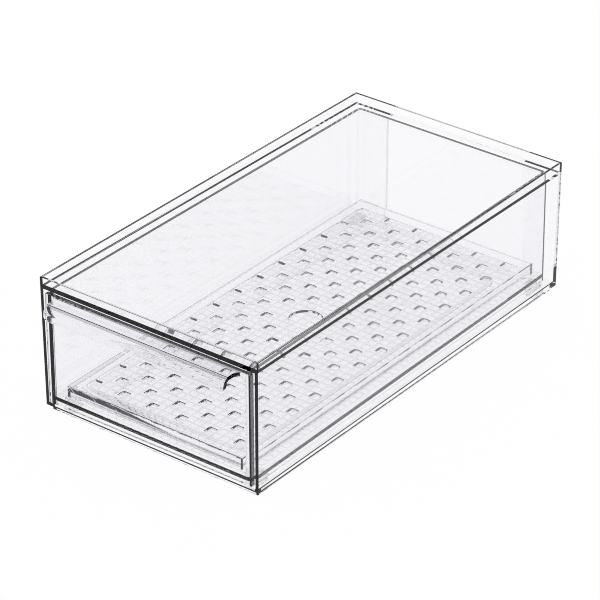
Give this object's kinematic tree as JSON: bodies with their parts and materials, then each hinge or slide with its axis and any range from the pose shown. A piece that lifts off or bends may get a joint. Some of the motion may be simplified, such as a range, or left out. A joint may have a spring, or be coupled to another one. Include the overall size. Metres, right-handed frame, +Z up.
{
  "type": "stackable drawer box",
  "caption": "Clear stacking organiser box: an open-fronted case with a rim and foot ring, a pull-out drawer with a curved lip handle, and a loose perforated drain tray.",
  "frame": {"origin": "centre of the whole object's outline on the surface it stands on, handle lip included", "axes": "+X to the right seen from the front, +Y from the drawer's front to the back, +Z up"},
  "size_m": [0.2136, 0.418, 0.12],
  "materials": {
    "case_plastic": "clear moulded polystyrene, polished",
    "drawer_plastic": "clear moulded polystyrene, polished, grid on the floor",
    "tray_plastic": "clear moulded polystyrene, polished",
    "pad_silicone": "translucent soft silicone"
  },
  "bodies": {
    "case": {"outer_case": "case_plastic", "foot_pad_front_left": "pad_silicone", "foot_pad_front_right": "pad_silicone", "foot_pad_back_left": "pad_silicone", "foot_pad_back_right": "pad_silicone"},
    "drawer": {"drawer": "drawer_plastic"},
    "tray": {"drain_tray": "tray_plastic"}
  },
  "joints": [
    {"name": "drawer_slide", "type": "slide", "parent": "case", "child": "drawer", "axis": [0, -1, 0], "range_m": [0, 0.3]},
    {"name": "tray_lift", "type": "slide", "parent": "drawer", "child": "tray", "axis": [0, 0, 1], "range_m": [0, 0.08]}
  ]
}
